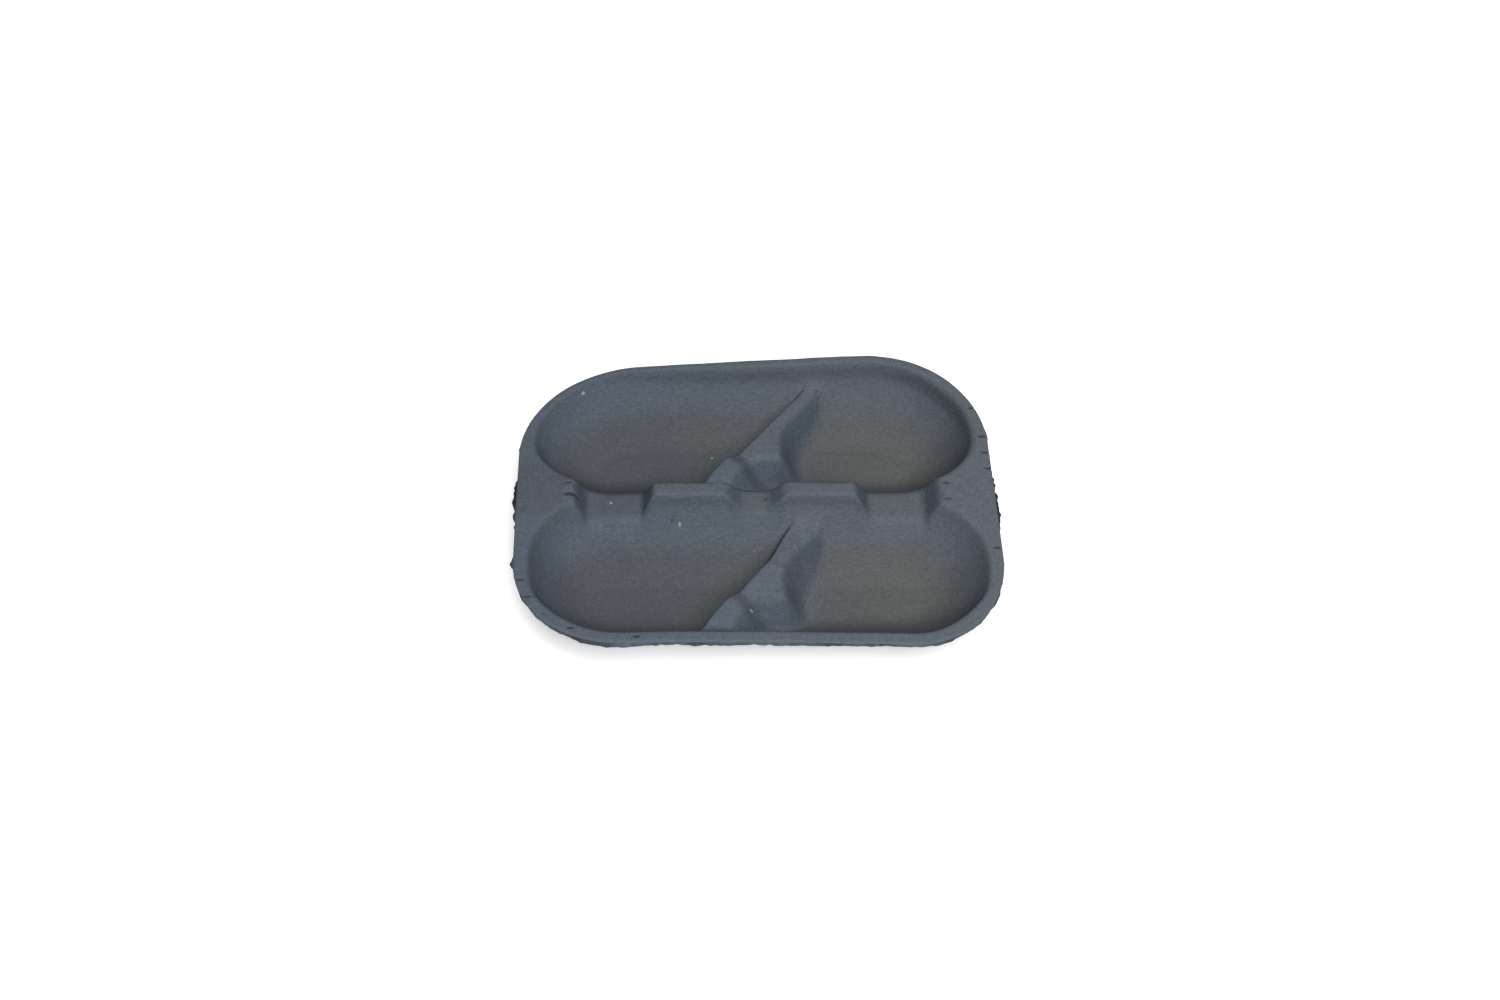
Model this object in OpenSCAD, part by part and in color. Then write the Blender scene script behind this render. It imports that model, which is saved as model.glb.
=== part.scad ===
// Moulded pulp fruit tray, pressed in one piece: two long troughs side by side,
// each split by a slanting divider into two cells, with a notched ridge between
// the troughs and a flat flange around them. One sheet of pulp makes it all, so
// every form on the upper side has its hollow on the underside.
// Origin: the table, under the middle of the tray. X is the length, Z is up.

/* [Outline] */
// Length over the flange
tray_length = 196.8; // [170:0.1:240]
// Width over the flange, across both troughs
tray_width = 150; // [136:1:180]
// Height from the table to the top of the flange
tray_height = 32; // [24:1:42]
// Radius of the two back corners in plan
back_corner_r = 51; // [40:0.5:60]
// Radius of the two front corners in plan
front_corner_r = 41.5; // [34:0.5:54]

/* [Flange] */
// Width of the flat flange at the ends and along the back
flange_w = 2.4; // [1.6:0.1:5]
// Width of the flat flange along the front
flange_front = 3.5; // [1.6:0.1:6]
// Width of the flat flange where it is narrowest, at the left end of the back
flange_left = 1.2; // [1:0.1:5]

/* [Pulp] */
// Thickness of the pulp
wall = 2; // [1.4:0.1:3]
// Rounding of the flange's outer edge
edge_r = 0.9; // [0.4:0.1:0.9]

/* [Cells] */
// Rounding of the lip where a wall starts down from the flange, along the front and back
rim_lip_r = 2.2; // [1:0.1:3]
// Rounding of the lip at the ends of the troughs
end_lip_r = 3; // [1:0.1:4]
// Rounding of the lip along the ridge
ridge_lip_r = 1.5; // [0.8:0.1:3]
// Steepness of a long wall below its lip, in degrees
wall_angle = 62; // [58:1:70]
// Steepness of an end wall below its lip, in degrees
end_angle = 68; // [60:1:72]
// Level distance from a lip's start to the flat of the floor
wall_run = 28; // [22:1:30]
// Radius in plan of the corners between the ridge and the end lands, behind the ridge
land_back_r = 33; // [22:0.5:36]
// The same radius in front of the ridge
land_front_r = 34; // [22:0.5:36]
// Softening of the corner where a land's edge meets the flange's edge
join_r = 5; // [1:0.5:8]
// Steepness of the short step right under the back lip, in degrees
step_angle = 84; // [72:1:85]
// Level run of that step
step_run = 1.3; // [0.5:0.1:2]

/* [Ridge between the troughs] */
// Width of the ridge's flat top
ridge_w = 4.4; // [2:0.2:8]
// Distance of the ridge's middle behind the middle of the tray
ridge_shift = 1.2; // [-2:0.1:2]
// Turn of the ridge from the length, in degrees
ridge_turn = -1.4; // [-2:0.1:2]
// Distance from the middle of the tray to the middle of an end notch
end_notch_x = 58.4; // [54:0.2:64]
// Width of an end notch at the top of the ridge
end_notch_top = 34; // [26:1:38]
// Width of an end notch at its floor
end_notch_floor = 22.5; // [14:0.5:24]
// Depth of an end notch
end_notch_depth = 11.5; // [6:0.5:14]
// Width of the middle notch at the top of the ridge
mid_notch_top = 25; // [20:1:32]
// Width of the middle notch at its floor
mid_notch_floor = 10; // [4:1:16]
// Depth of the middle notch
mid_notch_depth = 8.5; // [4:0.5:12]
// Rounding of a notch's upper and lower edges
notch_round = 3; // [1:0.5:4]

/* [Dividers] */
// Angle of a divider's crest to the length, in degrees
divider_angle = 50.5; // [45:0.5:60]
// Distance of the back divider to the right of the front one
back_shift = 1.8; // [-3:0.1:3]
// Drop from the flange to a divider's crest
crest_drop = 12; // [8:0.5:16]
// Width of a crest's narrow top
crest_w = 2.4; // [1.6:0.2:4]
// Level run of a crest's flank on the left-hand side
left_run = 15; // [8:1:20]
// Level run of a crest's flank on the right-hand side, beside the crest and the shelf
right_run = 10; // [6:1:14]
// Level run of the flank in the pocket beside the hump
pocket_run = 26; // [12:1:30]
// Rounding of a crest's edges
crest_r = 1.2; // [0.4:0.1:2]
// Rounding of the shelf's edges
shelf_r = 4; // [1:0.5:6]
// Steepness of the right-hand flanks just below the crest and the shelf, in degrees
flank_angle = 70; // [60:1:78]
// Steepness of the left-hand flanks just below the crest, in degrees
left_angle = 77; // [60:1:78]
// Steepness of the flank in the pocket, in degrees
pocket_angle = 63; // [50:1:72]
// Fillet between a flank and the floor
foot_fillet = 5; // [1:0.5:7]
// Fillet between a crest and the walls that it runs into
crest_fillet = 7; // [1:0.5:10]
// Height of the hump at a crest's front end, above the crest
hump_h = 6; // [0:0.5:8]
// Width that the hump's top gains towards its front end
fan_w = 6; // [0:0.5:8]
// Distance from a trough's middle to the right-hand edge of the three-cornered shelf
shelf_x = 8; // [4:0.1:15]
// Distance from a trough's middle line to the front edge of the shelf
shelf_y = 7; // [2:0.5:12]
// Extra height of the front divider's crest beside its shelf
front_rise = 3; // [0:0.5:4]
// Width that the front divider's crest gains on its left-hand side towards the ridge
front_lean = 4.5; // [0:0.5:6]

/* [Shape out of the mould] */
// Lift of two opposite corners and fall of the other two, as it dried
twist = 5; // [0:0.5:6]
// Fall of the two ends against the middle
end_fall = 1.8; // [0:0.1:3]
// Fall of the front and the back against the middle
side_fall = 1.2; // [0:0.1:3]
// Fall of the back against the front
back_fall = 0.9; // [0:0.1:3]
// Lift of the two back corners and fall of the two front ones
corner_rise = 1; // [0:0.1:3]
// How far the torn lower edge stands out at each end
torn_out = 1.3; // [0:0.1:3]
// Half the length of the torn edge
torn_half = 12; // [4:1:16]
// Distance of the torn edge's middle in front of the tray's middle, at the left end
torn_left_y = 3; // [0:1:8]
// The same distance at the right end
torn_right_y = 6; // [0:1:8]

/* [Hidden] */

half_l = tray_length / 2;
half_w = tray_width / 2;
cell_depth = tray_height - wall;
// Middle line of each trough
cell_y = (ridge_w / 2 + half_w - flange_front) / 2;
wall_slope = tan(wall_angle);
end_slope = tan(end_angle);
step_slope = tan(step_angle);
// From here the troughs' ends begin, and over the second length they take full effect
end_start = 62;
end_reach = 25;
// Shares of the half width and half length over which the flange widens at the front
// and narrows at the back left
front_from = 0.6;
front_reach = 0.25;
left_from = -0.2;
left_reach = 0.625;
// The back lip's step fades in from these places towards the back and to the right,
// and the ridge's step fades out towards the ends
step_from_y = 15;
step_reach_y = 35;
step_from_x = -75;
step_reach_x = 60;
ridge_step_end = 72;
ridge_step_fade = 12;
// Over this difference of distances a lip changes from the ridge's to the flange's
lip_blend = 12;
// Share of the back's step that the ridge's walls have
ridge_step = 0.5;
// Where the shelf ends along a crest, from the middle of its trough towards the back,
// and the lengths over which the hump rises, stays level and falls again
shelf_end = -shelf_y / sin(divider_angle);
hump_rise = 11;
hump_top = 6;
hump_tail = 12;
// Share of the hump's height that the fall takes away
hump_fall = 0.5;
// How early the pocket's flank begins, as a share of the hump's rise
pocket_lead = 0.4;
// Where a cell is no deeper than this, it has no divider
divider_from = 0.5;
rise_reach = 28;
// Where along the front crest its lean begins, and over which length it grows
lean_from = 6;
lean_reach = 24;
// A flank's curve aims below the floor, so that the floor cuts it at an angle
flank_below = 5;
// Depth at which the crest's fillet gives way to the foot's, and the length of the change
crest_depth = 20;
crest_fade = 6;
shelf_join = 6;
blend_power = 5;
torn_edge = 5;

function clamp(t) = max(0, min(1, t));
function smooth(t) = let (s = clamp(t)) s * s * (3 - 2 * s);
function soft_min(a, b, k) = min(a, b) - pow(max(k - abs(a - b), 0), 2) / (4 * k);
function soft_max(a, b, k) = max(a, b) + pow(max(k - abs(a - b), 0), 2) / (4 * k);
function soft_sum(a, b) = pow(pow(a, blend_power) + pow(b, blend_power), 1 / blend_power);

// Inside distance of a corner of radius r, from the distances to its two sides
function corner_inset(px, py, r) =
    let (qx = r - px, qy = r - py)
    r - norm([max(qx, 0), max(qy, 0)]) - min(max(qx, qy), 0);

function corner_r(y) = y > 0 ? back_corner_r : front_corner_r;

// Inside distance from the flange's outer edge
function rim_inset(x, y) = corner_inset(half_l - abs(x), half_w - abs(y), corner_r(y));

// Place of the ridge's middle, which lies a little askew between the cells
function ridge_y(x) = ridge_shift + x * tan(ridge_turn);

// Inside distance from a cell's edge beside the ridge and the end lands
function land_inset(x, y) =
    let (away = y - ridge_y(x))
    corner_inset(half_l - flange_w - abs(x), abs(away) - ridge_w / 2, away > 0 ? land_back_r : land_front_r);

// The flange is wider along the front, and narrowest at the left end of the back
function flange_width(x, y) =
    flange_w + (flange_front - flange_w) * smooth((-y / half_w - front_from) / front_reach)
    - (flange_w - flange_left) * smooth(-x / half_l / left_reach) * smooth(y / half_w - left_from);

// How far a place belongs to the flange's side of a cell, as against the ridge's side
function rim_share(rim, land) = smooth(0.5 + (land - rim) / lip_blend);
function end_share(x) = smooth((abs(x) - end_start) / end_reach);
function mixed(a, b, share) = a + (b - a) * share;
function lip_size(x, at_rim) = mixed(mixed(ridge_lip_r, rim_lip_r, at_rim), end_lip_r, end_share(x));

// Share of the steep step: whole under the back lip, less on the ridge, none elsewhere
function step_share(x, y, at_rim) =
    max(at_rim * smooth((y - step_from_y) / step_reach_y) * smooth((x - step_from_x) / step_reach_x),
        ridge_step * (1 - at_rim) * smooth((ridge_step_end - abs(x)) / ridge_step_fade));

// Drop of a cell wall at the inside distance d from its edge: a rounded lip, a short
// steep step where there is one, and a slope that flattens out to the floor
function wall_drop(d, lip_r, step, slope) =
    d <= 0 ? 0 :
    let (
        steepest = mixed(slope, step_slope, step),
        lip_x = lip_r * sin(atan(steepest)),
        lip_z = lip_r * (1 - cos(atan(steepest))),
        step_h = step_run * (steepest - slope) / 2,
        rest = cell_depth - lip_z - step_h,
        past = max(d - lip_x, 0),
        power = slope * (wall_run - lip_x) / rest
    )
    lip_r - sqrt(lip_r * lip_r - pow(min(d, lip_x), 2))
    + step_h * (1 - pow(1 - clamp(past / step_run), 2))
    + rest * (1 - pow(1 - clamp(past / (wall_run - lip_x)), power));

function cell_drop(x, y) =
    let (
        rim = rim_inset(x, y) - flange_width(x, y),
        land = land_inset(x, y),
        at_rim = rim_share(rim, land),
        slope = mixed(wall_slope, end_slope, end_share(x))
    )
    wall_drop(soft_min(rim, land, join_r), lip_size(x, at_rim), step_share(x, y, at_rim), slope);

// Drop of one notch in the ridge, at the distance x from the notch's middle
function notch_drop(x, top, floor, depth) =
    let (side = (top / 2 - abs(x)) * 2 * depth / (top - floor))
    side <= -notch_round ? 0 : soft_min(soft_max(side, 0, notch_round), depth, notch_round);

function ridge_drop(x) =
    max(notch_drop(abs(x) - end_notch_x, end_notch_top, end_notch_floor, end_notch_depth),
        notch_drop(x, mid_notch_top, mid_notch_floor, mid_notch_depth));

// Height of the hump over the crest, at the place a along the crest
function hump(a) =
    hump_h * smooth((shelf_end - a) / hump_rise)
    * (1 - hump_fall * smooth((shelf_end - hump_rise - hump_top - a) / hump_tail));

// Gain in width of the crest's top towards its front end
function fan(a) = fan_w * clamp((shelf_end - a) / (hump_rise + hump_top + hump_tail));

// Drop of a divider's surface: its crest, the shelf beside it and the flanks, which
// run out below the floor. Here a is the place along the crest, c the place across it
function divider_drop(x, y) =
    let (
        b = y - (y > 0 ? cell_y : -cell_y),
        from_middle = x - (y > 0 ? back_shift : 0),
        a = from_middle * cos(divider_angle) + b * sin(divider_angle),
        c = from_middle * sin(divider_angle) - b * cos(divider_angle),
        rise = y > 0 ? 0 : front_rise * smooth(1 - abs(a) / rise_reach) * clamp(1 - c / shelf_x),
        top = crest_drop - hump(a) - rise,
        lean = y > 0 ? 0 : front_lean * smooth((a - lean_from) / lean_reach),
        past_crest = max(-crest_w / 2 - lean - c, c - crest_w / 2 - fan(a)),
        past_shelf = norm([max(from_middle - shelf_x, 0), max(-shelf_y - b, 0)]),
        past = max(0, c < 0 ? past_crest : soft_min(past_crest, past_shelf, shelf_join)),
        edge = c < 0 ? crest_r : mixed(crest_r, shelf_r, smooth(c / shelf_r)),
        out = sqrt(past * past + edge * edge) - edge,
        pocket = c < 0 ? 0 : smooth((shelf_end - a) / hump_rise + pocket_lead),
        run = c < 0 ? left_run : mixed(right_run, pocket_run, pocket),
        fall = cell_depth + flank_below - top,
        steepest = c < 0 ? tan(left_angle) : mixed(tan(flank_angle), tan(pocket_angle), pocket),
        power = steepest * run / fall
    )
    top + fall * (1 - pow(1 - clamp(out / run), power));

// Drop of the upper side below the flange
function drop(x, y) =
    let (
        cell = cell_drop(x, y),
        notch = abs(y) < cell_y ? ridge_drop(x) : 0,
        open = notch > 0 ? min(cell_depth, soft_sum(cell, notch)) : cell,
        divider = divider_drop(x, y),
        fillet = mixed(foot_fillet, crest_fillet, smooth((crest_depth - divider) / crest_fade))
    )
    open < divider_from ? open : soft_min(open, divider, fillet);

function top_z(x, y) = tray_height - drop(x, y);

// The underside is everywhere one pulp thickness from the upper side: the lowest
// point of a ball of that radius that rolls on the upper side. The ball is felt at its
// middle and at a ring of points at this share of its radius
ball_share = 0.9;
reach = ball_share * wall;
dip = sqrt(wall * wall - reach * reach);
directions = [for (k = [0:7]) [cos(k * 45), sin(k * 45)] * reach];
function under_z(x, y) =
    min(top_z(x, y) - wall, min([for (d = directions) top_z(x + d.x, y + d.y) - dip]));

// Drying has twisted the tray a little; its floors stay on the table
function warp(x, y) =
    let (u = x / half_l, v = y / half_w)
    twist * u * v - end_fall * u * u - side_fall * v * v - back_fall * v + corner_rise * u * u * v;
function warped(x, y, z) = [x, y, z * (1 + warp(x, y) / tray_height)];

// The grid covers the tray up to this distance inside the flange's edge, and rings
// that run parallel to the edge cover the rest
grid_gap = 1;
grid_inset = flange_front + end_lip_r + step_run + grid_gap;
edge_x = half_l - grid_inset;
edge_y = half_w - grid_inset;
// The grid's corners lie on the corner arcs
function arc_r(v) = corner_r(v) - grid_inset;
function centre_x(v) = half_l - corner_r(v);
function centre_y(v) = half_w - corner_r(v);
function corner_x(v) = centre_x(v) + arc_r(v) * cos(45);
function corner_y(v) = centre_y(v) + arc_r(v) * sin(45);
function arc_reach(s, r, centre) = centre + sqrt(r * r - s * s);
function grid_x(v) = arc_reach(max(abs(v) * corner_y(v) - centre_y(v), 0), arc_r(v), centre_x(v));
function grid_y(u, v) = arc_reach(max(side_x(u, corner_x(v)) - centre_x(v), 0), arc_r(v), centre_y(v));
// Columns stay straight as far as inner_x and share out the rest of a row's length
function side_x(u, row_end) =
    let (x = abs(u) * edge_x)
    x < inner_x ? x : inner_x + (x - inner_x) * (row_end - inner_x) / (edge_x - inner_x);
// Inside, the rows follow the ridge and the back columns follow the back divider, with
// less of it over these shares of the grid towards the ends
shift_rows = 1 / 3;
shift_fade = 0.5;
turn_fade = 0.2;
function followed(p, u, v) =
    p + [back_shift * smooth(v / shift_rows) * smooth((1 - abs(u)) / shift_fade),
         ridge_y(p.x) * (1 - abs(v)) * smooth((1 - abs(u)) / turn_fade)];

// Evenly divided stations between the named ones, none further apart than the step
function divided(stops, step) =
    [for (k = [0:len(stops) - 2])
        let (n = max(1, ceil((stops[k + 1] - stops[k]) / step)))
        for (m = [0:n - 1]) stops[k] + (stops[k + 1] - stops[k]) * m / n,
     stops[len(stops) - 1]];
function mirrored(list) =
    [for (k = [len(list) - 1:-1:1]) -list[k], for (s = list) s];

// Steps of the grid: in the dividers' stretch they make up the crest's slant
cross_count = 8;
inner_count = 12;
outer_count = 31;
row_step = (edge_y - cell_y) / cross_count;
notch_in = end_notch_x - end_notch_top / 2;
notch_out = end_notch_x + end_notch_top / 2;
side_run = (end_notch_top - end_notch_floor) / 2;
inner_step = min(row_step / tan(divider_angle), notch_in / (inner_count + 1));
inner_x = inner_count * inner_step;
outer_step = tray_length / outer_count;
lip_end = ridge_w / 2 + ridge_lip_r;
lip_row = lip_end + (cell_y - lip_end) / (cross_count + 1);
x_stops = concat(divided([0, inner_x], inner_step),
                 divided([notch_in, notch_in + side_run, notch_out - side_run, notch_out, edge_x], outer_step))
          / edge_x;
y_stops = concat([0, ridge_w / 2, ridge_w / 2 + ridge_lip_r / 2, lip_end],
                 [for (k = [0:cross_count - 1]) lip_row + (cell_y - lip_row) * k / cross_count],
                 [for (k = [0:cross_count]) cell_y + row_step * k])
          / edge_y;
us = mirrored(x_stops);
vs = mirrored(y_stops);
nu = len(us);
nv = len(vs);

plan = [for (v = vs) for (u = us) followed([sign(u) * side_x(u, grid_x(v)), v * grid_y(u, v)], u, v)];
function at(i, j) = i + j * nu;

// Grid nodes around the boundary, counter-clockwise
border = concat([for (i = [0:nu - 2]) at(i, 0)],
                [for (j = [0:nv - 2]) at(nu - 1, j)],
                [for (i = [nu - 1:-1:1]) at(i, nv - 1)],
                [for (j = [nv - 1:-1:1]) at(0, j)]);
nb = len(border);

// Outward direction of the flange's edge at a boundary node
function outward(p) =
    let (q = [sign(p.x) * max(abs(p.x) - centre_x(p.y), 0), sign(p.y) * max(abs(p.y) - centre_y(p.y), 0)])
    q / norm(q);
// Boundary node moved out until it is the distance d inside the flange's edge
function ring_point(p, d) = p + outward(p) * (grid_inset - d);
// The same, a number of lip widths and of step runs inside the flange's inner edge
function lip_point(p, lips, steps) =
    ring_point(p, flange_width(p.x, p.y) + lips * lip_size(p.x, 1) + steps * step_run);

// Rings around the edge: how far in and how far down they lie, in radii of its rounding
edge_steps = [[1, 0], [0.3, 0.3], [0, 1]];
// Rings under the flange, as shares of the way in from its edge
low_shares = [0, 0.4, 0.7, 1];
// Rings down the lip, as shares of its width and of the step's run
lip_steps = [[1, 1], [1, 0], [0.5, 0], [0, 0]];

// How far the torn lower edge stands out at a place on the rim
function torn(p) =
    abs(p.x) < half_l / 2 ? 0 :
    torn_out * clamp((torn_half - abs(p.y + (p.x < 0 ? torn_left_y : torn_right_y))) / torn_edge + 0.5);

module tray() {
    top_grid = [for (p = plan) warped(p.x, p.y, top_z(p.x, p.y))];
    low_grid = [for (p = plan) warped(p.x, p.y, under_z(p.x, p.y))];
    top_rings = [for (e = lip_steps) for (k = border)
        let (p = lip_point(plan[k], e[0], e[1])) warped(p.x, p.y, top_z(p.x, p.y))];
    edge_rings = [for (e = edge_steps) for (k = border)
        let (p = ring_point(plan[k], e[0] * edge_r)) warped(p.x, p.y, tray_height - e[1] * edge_r)];
    torn_ring = [for (k = border)
        let (p = ring_point(plan[k], -torn(plan[k]))) warped(p.x, p.y, tray_height - wall + edge_r / 2)];
    low_rings = [for (share = low_shares) for (k = border)
        let (p = ring_point(plan[k], mixed(edge_r, grid_inset - grid_gap, share)))
        warped(p.x, p.y, under_z(p.x, p.y))];
    rings = concat(top_rings, edge_rings, torn_ring, low_rings);
    ring_count = len(rings) / nb;
    points = concat(top_grid, rings, low_grid);
    first_ring = len(top_grid);
    first_low = len(top_grid) + len(rings);
    // Node numbers of ring n, where the two grids' borders are the first and the last ring
    function ring(n) =
        n == 0 ? border :
        n <= ring_count ? [for (k = [0:nb - 1]) first_ring + (n - 1) * nb + k] :
        [for (k = border) first_low + k];
    loops = [for (n = [0:ring_count + 1]) ring(n)];
    // Each cell of the grid is split along the crests' slant in the dividers' stretch, and
    // elsewhere along the diagonal whose ends are nearer in height
    cells = [for (j = [0:nv - 2]) for (i = [0:nu - 2])
        let (
            a = at(i, j), b = at(i + 1, j), c = at(i + 1, j + 1), d = at(i, j + 1),
            at_divider = max(abs(us[i]), abs(us[i + 1])) * edge_x < notch_in + grid_gap,
            level = abs(top_grid[a].z - top_grid[c].z) < abs(top_grid[b].z - top_grid[d].z)
        )
        for (t = at_divider || level ? [[a, c, b], [a, d, c]] : [[a, d, b], [b, d, c]]) t];
    skirt = [for (n = [0:ring_count]) for (k = [0:nb - 1])
        let (m = (k + 1) % nb, a = loops[n][k], b = loops[n][m], c = loops[n + 1][m], d = loops[n + 1][k])
        for (t = [[a, b, c], [a, c, d]]) t];
    faces = concat(cells, skirt, [for (t = cells) [t[2] + first_low, t[1] + first_low, t[0] + first_low]]);
    color([0.34, 0.38, 0.42]) polyhedron(points, faces, convexity = 8);
}

tray();
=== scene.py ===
# %% [markdown]
# # A moulded pulp fruit tray
# The real tray is one sheet of recycled paper pulp, pressed wet over a wire mould and
# dried. It holds four fruits in two long troughs. A slanting divider splits each trough,
# a notched ridge runs between the troughs, and a flat flange runs round the outside.
# This lesson builds its skin as one closed mesh, gives it a fibrous finish and lights it.
# The imported model comes first, because the tray's width is read off it.

import math

import bpy
import numpy as np
from mathutils import Matrix, Vector


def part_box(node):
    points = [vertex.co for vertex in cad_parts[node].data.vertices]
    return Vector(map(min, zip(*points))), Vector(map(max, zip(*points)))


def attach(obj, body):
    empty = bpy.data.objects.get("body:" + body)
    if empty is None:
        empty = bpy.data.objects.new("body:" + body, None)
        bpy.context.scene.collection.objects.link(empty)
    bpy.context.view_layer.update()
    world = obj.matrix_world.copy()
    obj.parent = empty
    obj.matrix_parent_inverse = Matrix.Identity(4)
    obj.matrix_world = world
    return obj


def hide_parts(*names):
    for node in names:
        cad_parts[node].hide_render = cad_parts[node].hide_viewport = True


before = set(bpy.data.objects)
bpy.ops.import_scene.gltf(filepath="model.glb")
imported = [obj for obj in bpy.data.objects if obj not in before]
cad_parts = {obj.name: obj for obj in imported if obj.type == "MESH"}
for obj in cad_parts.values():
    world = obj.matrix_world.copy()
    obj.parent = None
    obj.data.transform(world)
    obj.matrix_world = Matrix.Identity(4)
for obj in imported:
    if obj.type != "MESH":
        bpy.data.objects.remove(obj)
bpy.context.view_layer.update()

# %% [markdown]
# ## Sizes
# A form that is pressed from one sheet is best described by its height over the table:
# each place in plan has one height for the upper side. So the sizes below are those of
# a mould maker, in millimetres, and the mesh is scaled to metres at the end.

# %% Sizes of the outline and the sheet
MM = 0.001
node_low, node_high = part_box("tray")
WIDTH = (node_high.y - node_low.y) / MM
LENGTH = 196.8
HEIGHT = 32.0
CORNER_BACK_R = 51.0
CORNER_FRONT_R = 41.5
FLANGE = 2.4
FLANGE_FRONT = 3.5
FLANGE_LEFT = 1.2
FRONT_FROM = 0.6
FRONT_REACH = 0.25
LEFT_FROM = -0.2
LEFT_REACH = 0.625
WALL = 2.0
HALF_L = LENGTH / 2
HALF_W = WIDTH / 2
DEPTH = HEIGHT - WALL
print("tray", LENGTH, "by", round(WIDTH, 1), "by", HEIGHT, "mm")

# %% Sizes of the cells, the ridge and its notches
RIM_LIP_R = 2.2
RIDGE_LIP_R = 1.5
END_LIP_R = 3.0
LIP_BLEND = 12.0
CELL_JOIN_R = 5.0
STEP_SLOPE = math.tan(math.radians(84))
STEP_RUN = 1.3
STEP_FROM = (-75.0, 15.0)
STEP_REACH = (60.0, 35.0)
RIDGE_STEP = 0.5
RIDGE_STEP_END = 72.0
RIDGE_STEP_FADE = 12.0
WALL_SLOPE = math.tan(math.radians(62))
END_SLOPE = math.tan(math.radians(68))
WALL_RUN = 28.0
END_START = 62.0
END_REACH = 25.0
LAND_FRONT_R = 34.0
LAND_BACK_R = 33.0
RIDGE_W = 4.4
RIDGE_SHIFT = 1.2
RIDGE_TURN = math.tan(math.radians(-1.4))
CELL_Y = (RIDGE_W / 2 + HALF_W - FLANGE_FRONT) / 2
LEFT_NOTCH = {"x": -58.6, "top": 32.5, "floor": 22.5, "depth": 11.5}
RIGHT_NOTCH = {"x": 58.2, "top": 35.0, "floor": 22.5, "depth": 11.5}
MID_NOTCH = {"x": -0.2, "top": 25.0, "floor": 10.0, "depth": 8.5}
NOTCH_ROUND = 3.0
BLEND_POWER = 5.0
print("cell centres lie", round(CELL_Y, 1), "mm in front of and behind the middle")

# %% [markdown]
# ## Height of the upper side
# Walls, ridge and dividers could be cut and joined with Boolean modifiers, but that
# leaves sharp seams. Here NumPy works out one height for all points at once. A wall
# starts with a rounded lip and then flattens out towards the floor as a power curve,
# which is how wet pulp sits on a mould. Two forms that meet are joined with a soft
# minimum, so that the join is a fillet.

# %% Small blending functions
def clamp(t):
    return np.clip(t, 0.0, 1.0)


def smooth(t):
    s = clamp(t)
    return s * s * (3 - 2 * s)


def soft_min(a, b, k):
    return np.minimum(a, b) - np.maximum(k - abs(a - b), 0) ** 2 / (4 * k)


def soft_max(a, b, k):
    return np.maximum(a, b) + np.maximum(k - abs(a - b), 0) ** 2 / (4 * k)


def soft_sum(a, b):
    return (a**BLEND_POWER + b**BLEND_POWER) ** (1 / BLEND_POWER)


def near(away, whole, fade):
    """One up to a distance, and nothing from a fade further out."""
    return smooth(1 + (whole - away) / fade)


print("two heights of 4 join softly at", soft_min(4.0, 4.0, 2.0))

# %% Distances in plan from the flange's edge and from a cell's inner corner
def corner_inset(px, py, r):
    qx, qy = r - px, r - py
    return r - np.hypot(np.maximum(qx, 0), np.maximum(qy, 0)) - np.minimum(np.maximum(qx, qy), 0)


def corner_r(y):
    return np.where(y > 0, CORNER_BACK_R, CORNER_FRONT_R)


def rim_inset(x, y):
    return corner_inset(HALF_L - abs(x), HALF_W - abs(y), corner_r(y))


def from_ridge(x, y):
    """The ridge lies a little askew between the cells."""
    return y - RIDGE_SHIFT - RIDGE_TURN * x


def land_inset(x, y):
    away = from_ridge(x, y)
    r = np.where(away > 0, LAND_BACK_R, LAND_FRONT_R)
    return corner_inset(HALF_L - FLANGE - abs(x), abs(away) - RIDGE_W / 2, r)


print("the middle lies", round(float(rim_inset(0.0, 0.0)), 1), "mm inside the edge")

# %% Drop of a wall
def wall_drop(d, lip_r, step, wall):
    """A rounded lip, a steep step where there is one, and a slope that flattens out to the floor."""
    steepest = wall + step * (STEP_SLOPE - wall)
    turn = np.arctan(steepest)
    lip_x = lip_r * np.sin(turn)
    lip_z = lip_r * (1 - np.cos(turn))
    step_h = STEP_RUN * (steepest - wall) / 2
    rest = DEPTH - lip_z - step_h
    power = wall * (WALL_RUN - lip_x) / rest
    past = np.maximum(d - lip_x, 0)
    lip = lip_r - np.sqrt(lip_r**2 - np.clip(d, 0, lip_x) ** 2)
    fall = step_h * (1 - (1 - clamp(past / STEP_RUN)) ** 2)
    slope = rest * (1 - (1 - clamp(past / (WALL_RUN - lip_x))) ** power)
    return lip + fall + slope


print("a wall falls", round(float(wall_drop(10.0, RIM_LIP_R, 0.0, WALL_SLOPE)), 1), "mm in its first 10")

# %% Drop of the notches in the ridge
def notch_drop(x, notch):
    away = abs(x - notch["x"])
    side = (notch["top"] / 2 - away) * 2 * notch["depth"] / (notch["top"] - notch["floor"])
    return np.maximum(soft_min(soft_max(side, 0, NOTCH_ROUND), notch["depth"], NOTCH_ROUND), 0)


def ridge_drop(x):
    return notch_drop(x, LEFT_NOTCH) + notch_drop(x, MID_NOTCH) + notch_drop(x, RIGHT_NOTCH)


print("the middle notch is", round(float(ridge_drop(MID_NOTCH["x"])), 1), "mm deep")

# %% [markdown]
# Each divider runs aslant across its trough. Its crest is narrow, its left side is
# steep, and its right side has a three-cornered shelf. A hump stands at its front end.
# The places along and across the crest make these forms simple to describe.

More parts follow.
